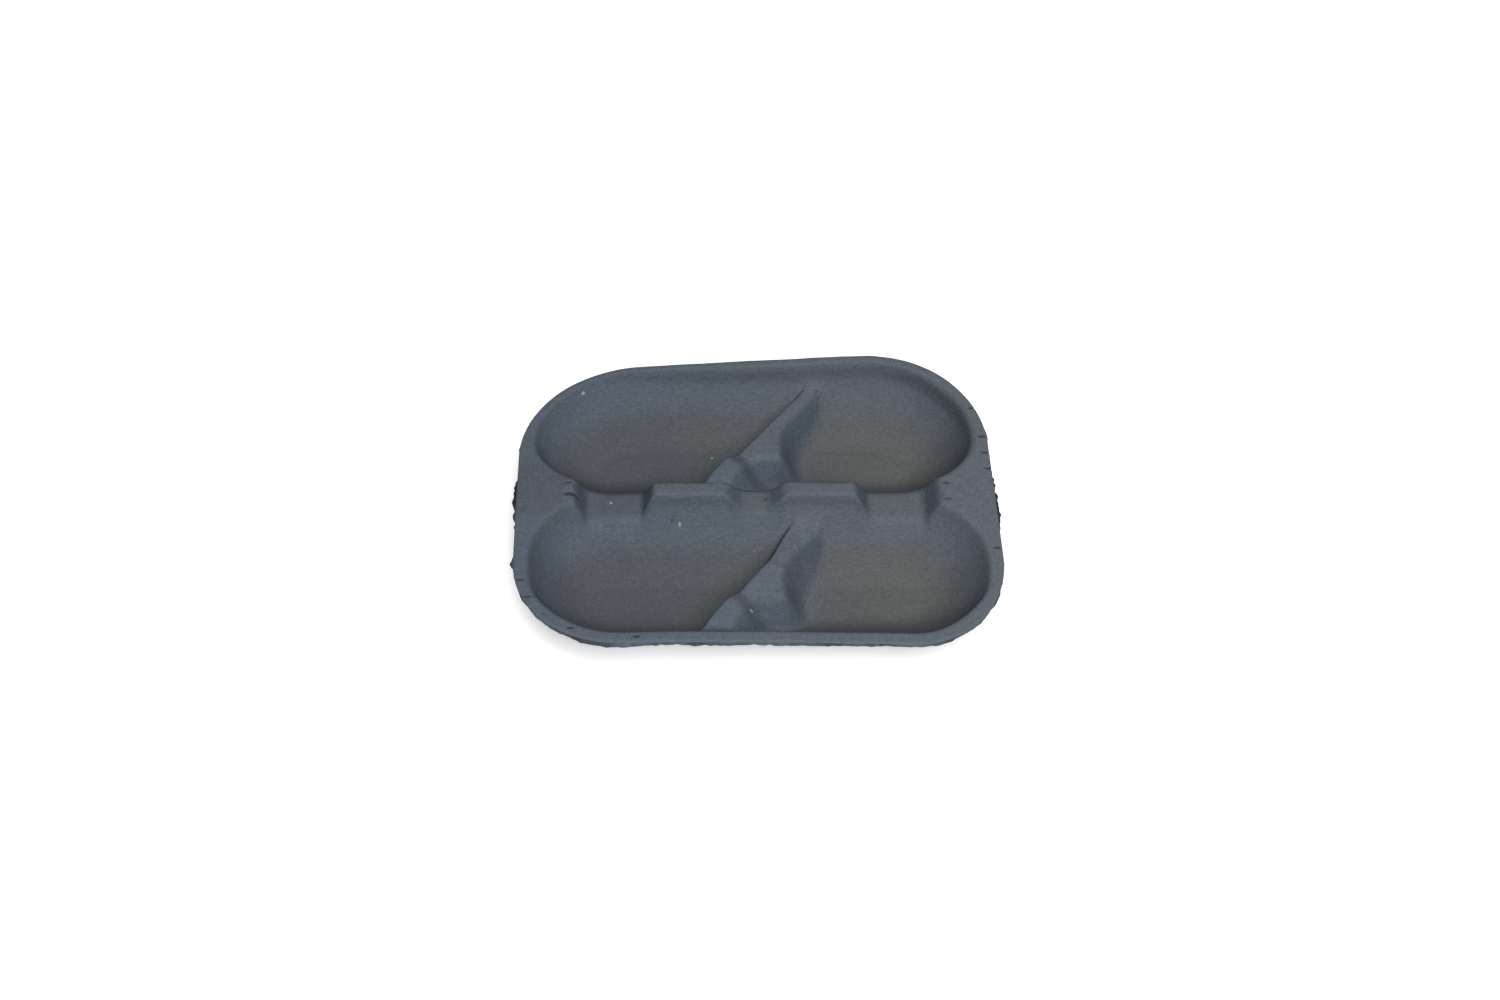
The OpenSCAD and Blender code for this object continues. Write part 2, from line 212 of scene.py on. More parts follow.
# %% Sizes of the dividers
SLANT = math.radians(50.5)
BACK_SHIFT = 1.8
CREST_DROP = 12.0
CREST_W = 2.4
CREST_R = 1.2
SHELF_R = 4.0
SHELF_JOIN_R = 6.0
LEFT_RUN = 15.0
RIGHT_RUN = 10.0
POCKET_RUN = 26.0
FLANK_ANGLE = math.radians(70)
LEFT_ANGLE = math.radians(77)
POCKET_ANGLE = math.radians(63)
FLANK_BELOW = 5.0
FOOT_FILLET = 5.0
CREST_FILLET = 7.0
CREST_DEPTH = 20.0
CREST_FADE = 6.0
DIVIDER_FROM = 0.5
HUMP_H = 6.0
HUMP_RISE = 11.0
HUMP_TOP = 6.0
HUMP_TAIL = 12.0
HUMP_FALL = 0.5
POCKET_LEAD = 0.4
FAN_W = 6.0
SHELF_X = 8.0
SHELF_Y = 7.0
FRONT_RISE = 3.0
RISE_REACH = 28.0
FRONT_LEAN = 4.5
LEAN_FROM = 6.0
LEAN_REACH = 24.0
SHELF_END = -SHELF_Y / math.sin(SLANT)
print("dividers slant by", round(math.degrees(SLANT), 1), "degrees")


# %% Drop of the dividers
def hump(a):
    tail = smooth((SHELF_END - HUMP_RISE - HUMP_TOP - a) / HUMP_TAIL)
    return HUMP_H * smooth((SHELF_END - a) / HUMP_RISE) * (1 - HUMP_FALL * tail)


def trough_place(x, y):
    """The place measured from the middle of its trough."""
    return x - np.where(y > 0, BACK_SHIFT, 0), y - np.where(y > 0, CELL_Y, -CELL_Y)


def crest_place(x, y):
    """The place along and across the crest of a trough's divider."""
    from_middle, b = trough_place(x, y)
    a = from_middle * math.cos(SLANT) + b * math.sin(SLANT)
    c = from_middle * math.sin(SLANT) - b * math.cos(SLANT)
    return a, c


def crest_top(x, y):
    a, c = crest_place(x, y)
    rise = np.where(y > 0, 0, FRONT_RISE * smooth(1 - abs(a) / RISE_REACH) * clamp(1 - c / SHELF_X))
    return CREST_DROP - hump(a) - rise


def divider_drop(x, y):
    from_middle, b = trough_place(x, y)
    a, c = crest_place(x, y)
    top = crest_top(x, y)
    lean = np.where(y > 0, 0, FRONT_LEAN * smooth((a - LEAN_FROM) / LEAN_REACH))
    fan = FAN_W * clamp((SHELF_END - a) / (HUMP_RISE + HUMP_TOP + HUMP_TAIL))
    past_crest = np.maximum(-CREST_W / 2 - lean - c, c - CREST_W / 2 - fan)
    past_shelf = np.hypot(np.maximum(from_middle - SHELF_X, 0), np.maximum(-SHELF_Y - b, 0))
    past = np.maximum(0, np.where(c < 0, past_crest, soft_min(past_crest, past_shelf, SHELF_JOIN_R)))
    edge_r = np.where(c < 0, CREST_R, CREST_R + (SHELF_R - CREST_R) * smooth(c / SHELF_R))
    out = np.sqrt(past**2 + edge_r**2) - edge_r
    pocket = smooth((SHELF_END - a) / HUMP_RISE + POCKET_LEAD)
    run = np.where(c < 0, LEFT_RUN, RIGHT_RUN + (POCKET_RUN - RIGHT_RUN) * pocket)
    right_steep = math.tan(FLANK_ANGLE) + (math.tan(POCKET_ANGLE) - math.tan(FLANK_ANGLE)) * pocket
    steep = np.where(c < 0, math.tan(LEFT_ANGLE), right_steep)
    fall = DEPTH + FLANK_BELOW - top
    power = steep * run / fall
    return top + fall * (1 - (1 - clamp(out / run)) ** power)


print("the back crest lies", round(float(crest_top(BACK_SHIFT, CELL_Y)), 1), "mm below the rim")

# %% Height of the bare form
def flange_width(x, y):
    """The flange is wider along the front, and narrowest at the left end of the back."""
    front = (FLANGE_FRONT - FLANGE) * smooth((-y / HALF_W - FRONT_FROM) / FRONT_REACH)
    left = smooth(-x / HALF_L / LEFT_REACH) * smooth(y / HALF_W - LEFT_FROM)
    return FLANGE + front - (FLANGE - FLANGE_LEFT) * left


def step_share(x, y, rim_share):
    """The steep step is whole under the back lip, less on the ridge, and none elsewhere."""
    along = smooth((x - STEP_FROM[0]) / STEP_REACH[0])
    back = rim_share * along * smooth((y - STEP_FROM[1]) / STEP_REACH[1])
    ridge = RIDGE_STEP * (1 - rim_share) * smooth((RIDGE_STEP_END - abs(x)) / RIDGE_STEP_FADE)
    return np.maximum(back, ridge)


def cell_drop(x, y):
    rim, land = rim_inset(x, y) - flange_width(x, y), land_inset(x, y)
    rim_share = smooth(0.5 + (land - rim) / LIP_BLEND)
    side_lip = RIDGE_LIP_R + (RIM_LIP_R - RIDGE_LIP_R) * rim_share
    at_end = smooth((abs(x) - END_START) / END_REACH)
    lip_r = side_lip + (END_LIP_R - side_lip) * at_end
    wall = WALL_SLOPE + (END_SLOPE - WALL_SLOPE) * at_end
    return wall_drop(soft_min(rim, land, CELL_JOIN_R), lip_r, step_share(x, y, rim_share), wall)


def top_height(x, y):
    cell = cell_drop(x, y)
    notch = np.where(abs(y) < CELL_Y, ridge_drop(x), 0)
    opened = np.where(notch > 0, np.minimum(DEPTH, soft_sum(cell, notch)), cell)
    divider = divider_drop(x, y)
    fillet = FOOT_FILLET + (CREST_FILLET - FOOT_FILLET) * smooth((CREST_DEPTH - divider) / CREST_FADE)
    drop = np.where(opened < DIVIDER_FROM, opened, soft_min(opened, divider, fillet))
    return HEIGHT - drop


print("floor at", round(float(top_height(np.array(45.0), np.array(CELL_Y))), 2), "mm")

# %% [markdown]
# ## Lumps from the mould
# Real pulp is never quite smooth. A Displace modifier could raise lumps on the mesh.
# Here a function does it, because the same lumps also shape the torn edge and mottle
# the masks for the finish. Random heights on a coarse lattice are blended between the
# lattice points. A fixed seed gives the same lumps in each run, and several layers
# make up a rougher skin.

# %% Soft random relief
LATTICE = 128


def lumps(x, y, size, seed):
    heights = np.random.default_rng(seed).uniform(-1, 1, (LATTICE, LATTICE))
    gx, gy = x / size + LATTICE / 2, y / size + LATTICE / 2
    i, j = np.floor(gx).astype(int), np.floor(gy).astype(int)
    fx, fy = smooth(gx - i), smooth(gy - j)
    i0, j0, i1, j1 = i % LATTICE, j % LATTICE, (i + 1) % LATTICE, (j + 1) % LATTICE
    front = heights[i0, j0] * (1 - fx) + heights[i1, j0] * fx
    back = heights[i0, j1] * (1 - fx) + heights[i1, j1] * fx
    return front * (1 - fy) + back * fy


def layered(x, y, layers):
    """Lumps of several heights, sizes and seeds on top of each other."""
    return sum(height * lumps(x, y, size, seed) for height, size, seed in layers)


print("lumps come from", LATTICE, "by", LATTICE, "heights")

# %% [markdown]
# ## Marks
# A tray is torn off its neighbours and knocked about in its box. Short nicks lie along
# the flange and beside the ends of the ridge, one deeper hole sits at its left end, and
# a few pale bits of unpulped paper show. They could be painted on an image, but a list
# of places is easier to change. Each mark is a soft oval in plan, which lowers or raises
# the skin and is written to the mesh for the finish to colour.

# %% Marks on the upper side
NICK_SIZE = (2.4, 0.65)
NICK_DEPTH = 0.7
PIT_SIZE = (0.9, 0.7)
PIT_SHARE = 0.7
HOLE_SIZE = (4.2, 1.3)
HOLE_DEPTH = 1.8
FLECK_SIZE = (0.7, 0.5)
FLECK_HEIGHT = 0.25
MARK_EDGE = 1.5
HOLE_PLACE = (-76.0, 1.2)
RIGHT_NICKS = [(93.7, 42.7), (95.8, 27.3), (96.5, 18.8), (97.0, 10.5), (96.1, -29.1)]
RIDGE_NICKS = [(78.5, 3.2), (78.5, -4.9), (-77.4, 7.4)]
LEFT_NICKS = [(-95.0, -43.5), (-92.0, -52.1), (-74.9, -68.0), (-49.5, -72.3)]
PITS = [(23.3, 65.7), (29.4, 65.6), (-34.9, -6.0), (3.7, 2.0), (-85.1, -60.7)]
SPECKS = [(-72.3, 63.0), (-60.1, 4.3), (-31.7, -7.3), (-17.0, 43.1), (-4.0, -52.0)]


def spot(x, y, place, size):
    """One in the middle of an oval mark and nothing outside it."""
    return smooth(MARK_EDGE * (1 - np.hypot((x - place[0]) / size[0], (y - place[1]) / size[1])))


def spots(x, y, places, size):
    return sum(spot(x, y, place, size) for place in places)


def nicks(x, y):
    dashes = spots(x, y, RIGHT_NICKS + RIDGE_NICKS + LEFT_NICKS, NICK_SIZE)
    return clamp(dashes + PIT_SHARE * spots(x, y, PITS, PIT_SIZE))


def hole(x, y):
    return spot(x, y, HOLE_PLACE, HOLE_SIZE)


def specks(x, y):
    return clamp(spots(x, y, SPECKS, FLECK_SIZE))


print(len(RIGHT_NICKS + RIDGE_NICKS + LEFT_NICKS), "nicks,", len(PITS), "pits,", len(SPECKS), "specks")

# %% Relief: lumps everywhere, more on the front divider's ledge, with the marks cut in
SOFT_LUMPS = [(0.22, 17.0, 1), (0.10, 6.5, 2), (0.05, 2.6, 3)]
LEDGE_LUMPS = [(0.55, 4.4, 4), (0.35, 1.9, 5)]
LEDGE_START = -10.0
LEDGE_END = 38.0
LEDGE_LEFT = -3.0
LEDGE_RIGHT = 12.0


def ledge(x, y):
    """The rough stretch to the right of the front divider's crest."""
    a, c = crest_place(x, y)
    along = smooth((a - LEDGE_START) / 8) * smooth((LEDGE_END - a) / 6)
    across = smooth((c - LEDGE_LEFT) / 5) * smooth((LEDGE_RIGHT - c) / 4)
    return (y < 0) * along * across


def relief(x, y):
    skin = layered(x, y, SOFT_LUMPS) + ledge(x, y) * layered(x, y, LEDGE_LUMPS)
    return skin - NICK_DEPTH * nicks(x, y) - HOLE_DEPTH * hole(x, y) + FLECK_HEIGHT * specks(x, y)


print("the ledge is", LEDGE_END - LEDGE_START, "mm long, the hole", HOLE_DEPTH, "mm deep")

# %% [markdown]
# Pulp shrinks as it dries, and the whole tray twists a little. A Simple Deform modifier
# could twist it, but would lift the floors off the table as well. Here each height is
# scaled by a share that changes over the plan, so only the rims rise and fall.

# %% Warp: the tray twisted a little as it dried, with its floors still on the table
TWIST = 5.0
END_FALL = 1.8
SIDE_FALL = 1.2
BACK_FALL = 0.95
CORNER_RISE = 1.0


def warped(x, y, z):
    u, v = x / HALF_L, y / HALF_W
    lift = TWIST * u * v - END_FALL * u**2 - SIDE_FALL * v**2 - BACK_FALL * v + CORNER_RISE * u**2 * v
    return z * (1 + lift / HEIGHT)


print("the right back corner moves by", round(warped(HALF_L, HALF_W, HEIGHT) - HEIGHT, 2), "mm")

# %% [markdown]
# ## The skin as one closed mesh
# A flat sheet with a Solidify modifier would cross itself at the tight bends. So the
# skin is made point by point. A grid that is bent to the outline covers the upper side,
# rings that run parallel to the edge turn over it, and a grid with half as many lines
# covers the underside. This keeps every face small, with no holes and no loose faces.

# %% Grid that is fitted to the outline
COLUMNS = 300
ROWS = 224
GRID_INSET = 3.0


def arc_centre(y):
    return HALF_L - corner_r(y), HALF_W - corner_r(y)


def arc_reach(share, centre, r):
    """How far the grid reaches along one axis, at a share of its half size along the other."""
    along = np.maximum(share * (centre[0] + r * math.sqrt(0.5)) - centre[0], 0)
    return centre[1] + np.sqrt(r**2 - along**2)


def plan_grid(columns, rows):
    u, v = np.meshgrid(np.linspace(-1, 1, columns + 1), np.linspace(-1, 1, rows + 1))
    centre_x, centre_y = arc_centre(v)
    r = corner_r(v) - GRID_INSET
    x = u * arc_reach(abs(v), (centre_y, centre_x), r)
    y = v * arc_reach(abs(u), (centre_x, centre_y), r)
    return x, y


def border(numbers):
    """Node numbers round the edge of a grid, counter-clockwise from above."""
    return np.concatenate([numbers[0, :-1], numbers[:-1, -1], numbers[-1, :0:-1], numbers[:0:-1, 0]])


def outward(x, y):
    centre_x, centre_y = arc_centre(y)
    qx = np.sign(x) * np.maximum(abs(x) - centre_x, 0)
    qy = np.sign(y) * np.maximum(abs(y) - centre_y, 0)
    size = np.hypot(qx, qy)
    return qx / size, qy / size


print("upper grid of", COLUMNS, "by", ROWS, "quads")

# %% [markdown]
# The sheet is equally thick everywhere, so the underside lies one thickness below the
# upper side, measured square to it and not straight down. A ball of that radius, rolled
# over the upper side, marks it out. One point under its middle and eight round about
# are enough for walls as smooth as these.

# %% Underside: the lowest points of a ball that rolls on the upper side
REACH = 0.9 * WALL
DIP = math.sqrt(WALL**2 - REACH**2)


def under_height(x, y):
    low = top_height(x, y) - WALL
    for k in range(8):
        turn = k * math.pi / 4
        low = np.minimum(low, top_height(x + REACH * math.cos(turn), y + REACH * math.sin(turn)) - DIP)
    return low


print("underside of the floor at", round(float(under_height(45.0, CELL_Y)), 2), "mm")

# %% [markdown]
# Trays are moulded side by side and torn apart. Lumps of several sizes push the lower
# edge of the flange in and out, and it stands out furthest at the two torn ends.

# %% Ragged lower edge, which stands out where the tray was torn off its neighbours
TORN_OUT = 1.3
TORN_LEFT_Y = -3.0
TORN_RIGHT_Y = -6.0
TORN_HALF = 12.0
TORN_EDGE = 5.0
TUFT_Y = -33.0
TUFT_HALF = 1.2
TUFT_FADE = 2.0
TUFT_OUT = 1.5
RAGGED_MEAN = 0.8
RAGGED_LUMPS = [(0.4, 1.7, 31), (0.35, 4.0, 32)]
FRINGE_LUMPS = [(0.25, 1.9, 33)]
WAVE_LUMPS = [(0.3, 7.0, 34)]
ROUGH_FROM = 60.0
ROUGH_REACH = 30.0
ROUGH_GAIN = 1.2


def torn(x, y):
    middle = np.where(x < 0, TORN_LEFT_Y, TORN_RIGHT_Y)
    share = clamp((TORN_HALF - abs(y - middle)) / TORN_EDGE + 0.5)
    ragged = RAGGED_MEAN + layered(x, y, RAGGED_LUMPS)
    rough_side = 1 + ROUGH_GAIN * smooth((x - ROUGH_FROM) / ROUGH_REACH)
    fringe = rough_side * layered(x, y, FRINGE_LUMPS) + layered(x, y, WAVE_LUMPS)
    tuft = np.where(x < 0, TUFT_OUT * near(abs(y - TUFT_Y), TUFT_HALF, TUFT_FADE), 0)
    return np.where(abs(x) < HALF_L / 2, 0, (TORN_OUT * share + tuft) * ragged) + fringe


print("torn stretches are", 2 * TORN_HALF, "mm long")

# %% Sizes of the flange's edge, from its top to its underside
EDGE_R = 0.9
EDGE_H = 3.3
SEAM_H = 1.5
SEAM_DEPTH = 0.45
SEAM_LUMP = 9.0
SIDE_H = 1.15
SIDE_INSET = 0.05
TORN_H = 0.4
FOOT_INSET = 0.15
FOOT_SHARE = 0.8
UNDER_INSET = 1.3
UNDER_SHARE = 0.3
UNDER_H = 0.9 * EDGE_H
INNER_INSET = 2.2
FLANGE_RINGS = (2.4, 1.8, 1.3)
ROUND_TURNS = (0, 25, 50, 75)
THICK_LUMPS = [(0.16, 11.0, 42), (0.1, 2.1, 43)]
LOWEST = 0.02
print("edge", EDGE_H, "mm high, torn", TORN_OUT, "mm out")

# %% Points of the upper side, the underside and the rings between them
top_x, top_y = plan_grid(COLUMNS, ROWS)
top_z = top_height(top_x, top_y) + relief(top_x, top_y)
low_x, low_y = plan_grid(COLUMNS // 2, ROWS // 2)
low_z = np.maximum(under_height(low_x, low_y) + relief(low_x, low_y), LOWEST)

fine = border(np.arange(top_x.size).reshape(top_x.shape))
coarse = border(np.arange(low_x.size).reshape(low_x.shape))
fine_x, fine_y = top_x.ravel()[fine], top_y.ravel()[fine]
coarse_x, coarse_y = low_x.ravel()[coarse], low_y.ravel()[coarse]


def ring(x, y, inset, z_of, drop=0.0):
    """One loop of points at an inset from the flange's edge."""
    nx, ny = outward(x, y)
    rx, ry = x + nx * (GRID_INSET - inset), y + ny * (GRID_INSET - inset)
    return rx, ry, z_of(rx, ry) - drop


def flange_top(x, y):
    return HEIGHT + relief(x, y)


fine_rings = [ring(fine_x, fine_y, inset, flange_top) for inset in FLANGE_RINGS]
for turn in np.radians(ROUND_TURNS):
    inset = EDGE_R * (1 - math.sin(turn))
    fine_rings.append(ring(fine_x, fine_y, inset, flange_top, EDGE_R * (1 - math.cos(turn))))
seam = SEAM_DEPTH * (0.5 + lumps(fine_x, fine_y, SEAM_LUMP, 41))
thick = 1 + layered(fine_x, fine_y, THICK_LUMPS)
fringe = torn(fine_x, fine_y)
fine_rings.append(ring(fine_x, fine_y, SIDE_INSET, flange_top, SIDE_H))
fine_rings.append(ring(fine_x, fine_y, seam, flange_top, SEAM_H * thick))
fine_rings.append(ring(fine_x, fine_y, -fringe, flange_top, (SEAM_H + TORN_H) * thick))
fine_rings.append(ring(fine_x, fine_y, FOOT_INSET - FOOT_SHARE * fringe, flange_top, EDGE_H * thick))
under_inset = UNDER_INSET - UNDER_SHARE * torn(coarse_x, coarse_y)
coarse_rings = [ring(coarse_x, coarse_y, under_inset, flange_top, UNDER_H)]
coarse_rings.append(ring(coarse_x, coarse_y, INNER_INSET, lambda x, y: under_height(x, y) + relief(x, y)))
print(len(fine_rings), "fine rings of", len(fine), "points,", len(coarse_rings), "coarse rings")

# %% Faces between two loops and over a grid
def band(outer, inner):
    """Two triangles for each step between two loops of the same length."""
    a, b = outer, np.roll(outer, -1)
    d, c = inner, np.roll(inner, -1)
    return np.concatenate([np.stack([a, b, c], 1), np.stack([a, c, d], 1)])


def halving_band(many, few):
    """Three triangles for each step from a loop to one with half as many points."""
    a, m, b = many[0::2], many[1::2], np.roll(many, -2)[0::2]
    p, q = few, np.roll(few, -1)
    return np.concatenate([np.stack([a, m, p], 1), np.stack([m, q, p], 1), np.stack([m, b, q], 1)])


def grid_faces(numbers, z):
    """Each quad is split along the diagonal whose ends are nearer in height."""
    a, b = numbers[:-1, :-1].ravel(), numbers[:-1, 1:].ravel()
    c, d = numbers[1:, 1:].ravel(), numbers[1:, :-1].ravel()
    along = abs(z[:-1, :-1] - z[1:, 1:]).ravel() < abs(z[:-1, 1:] - z[1:, :-1]).ravel()
    first = np.where(along[:, None], np.stack([a, b, c], 1), np.stack([a, b, d], 1))
    second = np.where(along[:, None], np.stack([a, c, d], 1), np.stack([b, c, d], 1))
    return np.concatenate([first, second])


print("two loops of 4 points take", len(band(np.arange(4), np.arange(4, 8))), "triangles")

# %% Join the points to one closed skin
points = [np.stack([top_x.ravel(), top_y.ravel(), top_z.ravel()], 1)]
loops = [fine]
count = top_x.size
for rx, ry, rz in fine_rings + coarse_rings:
    points.append(np.stack([rx, ry, rz], 1))
    loops.append(np.arange(count, count + len(rx)))
    count += len(rx)
low_numbers = np.arange(low_x.size).reshape(low_x.shape) + count
points.append(np.stack([low_x.ravel(), low_y.ravel(), low_z.ravel()], 1))
loops.append(coarse + count)

faces = [grid_faces(np.arange(top_x.size).reshape(top_x.shape), top_z)]
for outer, inner in zip(loops[1:], loops[:-1]):
    if len(outer) == len(inner):
        faces.append(band(outer, inner))
    else:
        faces.append(halving_band(inner, outer)[:, ::-1])
faces.append(grid_faces(low_numbers, low_z)[:, ::-1])
points = np.concatenate(points)
faces = np.concatenate(faces)
flat_z = points[:, 2].copy()
points[:, 2] = warped(points[:, 0], points[:, 1], flat_z)
print(len(points), "points,", len(faces), "triangles")

# %% [markdown]
# NumPy's arrays go into a Blender mesh in one call. Smooth shading lets the small
# triangles read as one skin.

# %% Make the tray piece
def mesh_piece(name, points, faces):
    mesh = bpy.data.meshes.new(name)
    mesh.from_pydata((points * MM).tolist(), [], faces.tolist())
    mesh.update()
    mesh.shade_smooth()
    piece = bpy.data.objects.new(name, mesh)
    bpy.context.scene.collection.objects.link(piece)
    return piece


tray = mesh_piece("tray_pulp", points, faces)
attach(tray, "root")
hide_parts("tray")
print("tray piece has", len(tray.data.polygons), "faces")

# %% [markdown]
# The finish needs to know which low places are painted a duller olive grey, where the
# dividers' flanks and the notch sides get painted shade in a darker blue, where the
# flange's lower edge gets painted shade, and where the marks are. Each is written to the
# mesh as one number for each point.

# %% Floors and sides of the notches, and the left land
RIDGE_HALF = 3.6
RIDGE_FADE = 6.0
FLOOR_FROM = 0.75
FLOOR_FADE = 0.2
SIDE_FROM = 0.4
LAND_FROM = 74.0
LAND_FADE = 6.0
LAND_HALF = 9.8
LAND_HALF_FADE = 14.0
LAND_LOW = 0.75 * HEIGHT

x, y, z = points.T
off_ridge = abs(from_ridge(x, y))
on_ridge = near(off_ridge, RIDGE_HALF, RIDGE_FADE) * (z > HEIGHT / 2)
notch_share = ridge_drop(x) / np.where(abs(x) < HALF_L / 3, MID_NOTCH["depth"], LEFT_NOTCH["depth"])
notch_floor = smooth((notch_share - FLOOR_FROM) / FLOOR_FADE)
saddle = on_ridge * notch_floor
# notch_side: the sides of the notches, which get painted shade.
notch_side = on_ridge * smooth(notch_share / SIDE_FROM) * (1 - notch_floor)
on_land = near(off_ridge, LAND_HALF, LAND_HALF_FADE) * (z > LAND_LOW)
left_land = smooth((-x - LAND_FROM) / LAND_FADE) * on_land
print("notch floors take in", int((saddle > 0.5).sum()), "points")

# %% Right-hand sides of the dividers, which get painted shade, and the floor beside them
DIVIDER_FADE = 3.0
CREST_SIDE = 2.0
BESIDE_SIDE = 3.0
FLANK_FROM = 0.5
FLANK_FADE = 2.5
LOWER_FROM = 7.0
LOWER_FADE = 8.0
LOWER_SHARE = 0.6
BESIDE_REACH = 11.2
BESIDE_FADE = 14.0
FOOT_FROM = -25.0
FOOT_FADE = 12.0
BACK_FOOT = 0.3
FRONT_FOOT = 0.6
BAND_LUMPS = [(2.2, 3.0, 53)]

along, across = crest_place(x, y)
on_divider = smooth((cell_drop(x, y) - divider_drop(x, y)) / DIVIDER_FADE)
right_side = on_divider * smooth(across / CREST_SIDE)
below_crest = divider_drop(x, y) - crest_top(x, y)
ragged = layered(x, y, BAND_LUMPS) * ledge(x, y)
paler_below = 1 - LOWER_SHARE * smooth((below_crest - LOWER_FROM) / LOWER_FADE)
# right_flank: painted shade on the steep right-hand flanks and pockets, fading lower down.
right_flank = right_side * smooth((below_crest - FLANK_FROM + ragged) / FLANK_FADE) * paler_below
beside = near(trough_place(x, y)[0] - SHELF_X, BESIDE_REACH, BESIDE_FADE) * smooth(across / BESIDE_SIDE)
foot = beside * smooth((along - FOOT_FROM) / FOOT_FADE) * np.where(y > 0, BACK_FOOT, FRONT_FOOT)
print("divider flanks take in", int((right_flank > 0.5).sum()), "points")

# %% The flange's lower edge, which gets painted shade and stain streaks, and where it is torn
EDGE_LUMPS = [(0.7, 8.0, 51), (0.5, 2.4, 52)]
EDGE_MEAN = 0.6
STREAK_LUMPS = [(1.6, 12.0, 54), (0.8, 2.0, 55)]
STREAK_MEAN = 0.35
LOW_EDGE = 0.8
LOW_FADE = 0.5
LOW_INSET = 1.0
TORN_LOW = 1.3
TORN_FADE = 0.4
TORN_INSET = 0.6
TORN_END = 88.0
TORN_END_FADE = 5.0
LEFT_STAIN = (TORN_LEFT_Y, 12.0)
RIGHT_STAIN = (8.0, 24.0)

inset = rim_inset(x, y)
# low_edge: the flange's lower edge, which gets painted shade and stain streaks.
low_edge = smooth((HEIGHT - LOW_EDGE - flat_z) / LOW_FADE) * (inset < LOW_INSET)
edge_cloud = clamp(EDGE_MEAN + layered(x, y, EDGE_LUMPS))
edge_streaks = low_edge * smooth(STREAK_MEAN + layered(x, y, STREAK_LUMPS))
at_ends = smooth((abs(x) - TORN_END) / TORN_END_FADE)
torn_edge = smooth((HEIGHT - TORN_LOW - flat_z) / TORN_FADE) * (inset < TORN_INSET) * at_ends
stain_y = np.where(x < 0, LEFT_STAIN[0], RIGHT_STAIN[0])
stain_fade = np.where(x < 0, LEFT_STAIN[1], RIGHT_STAIN[1])
torn_stretch = near(abs(y - stain_y), stain_fade / 2, stain_fade)
print("lower edge takes in", int((low_edge > 0.5).sum()), "points")

# %% Write the masks to the mesh
DULL_Z = 20.0
DULL_FADE = 18.0
SADDLE_DULL = 0.45
# Shares of painted shade on the back and front flanks and on the notch sides.
BACK_SHADE = 1.1
FRONT_SHADE = 0.7
NOTCH_SHADE = 0.8
HOLE_STAIN = 1.2
TORN_STAIN = 0.8
STREAK_STAIN = 0.5
SEEN = 0.3


def write_points(mesh, name, values):
    made = mesh.attributes.new(name, "FLOAT", "POINT")
    made.data.foreach_set("value", values.astype(np.float32))


# Low places are painted a duller, darker olive grey, the notch floors and the left land in part, less
# beside the right foot of each divider, and none on the dividers' right sides.
floors = smooth((DULL_Z - z) / DULL_FADE) * (1 - foot)
dull = np.maximum(floors, SADDLE_DULL * np.maximum(saddle, left_land)) * (1 - right_side)
# deep holds painted shade: a darker blue on the dividers' right flanks and the notch sides.
deep = right_flank * np.where(y > 0, BACK_SHADE, FRONT_SHADE) + NOTCH_SHADE * notch_side
edge_stain = TORN_STAIN * torn_edge * torn_stretch + STREAK_STAIN * edge_streaks
stain = nicks(x, y) + HOLE_STAIN * hole(x, y) + edge_stain
write_points(tray.data, "dull", dull)
write_points(tray.data, "deep", clamp(deep))
# edge holds painted shade: the flange's lower edge in a darker blue.
write_points(tray.data, "edge", low_edge * edge_cloud)
write_points(tray.data, "stain", clamp(stain))
write_points(tray.data, "fleck", specks(x, y))
print("marks on", int((nicks(x, y) > SEEN).sum()), "points, flecks on", int((specks(x, y) > SEEN).sum()))

# %% [markdown]
# ## Two helpers for the finishes
# A finish is a tree of nodes. Written as Python expressions it stays readable: Wire
# wraps a socket, so that 1 - mask or grain * 0.3 adds the Math nodes by itself, and
# Finish.node makes any other node from its type, its settings and its sockets.

# %% Sockets as numbers in Python expressions
class Wire:
    def __init__(self, finish, socket):
        self.finish = finish
        self.socket = socket

    def math(self, operation, *values):
        made = self.finish.node("ShaderNodeMath", {"operation": operation}, dict(enumerate(values)))
        return Wire(self.finish, made.outputs[0])

    def __add__(self, other):
        return self.math("ADD", self, other)

    def __radd__(self, other):
        return self.math("ADD", other, self)

    def __sub__(self, other):
        return self.math("SUBTRACT", self, other)

    def __rsub__(self, other):
        return self.math("SUBTRACT", other, self)

    def __mul__(self, other):
        return self.math("MULTIPLY", self, other)

    def __rmul__(self, other):
        return self.math("MULTIPLY", other, self)


print("Wire turns + - and * into Math nodes")

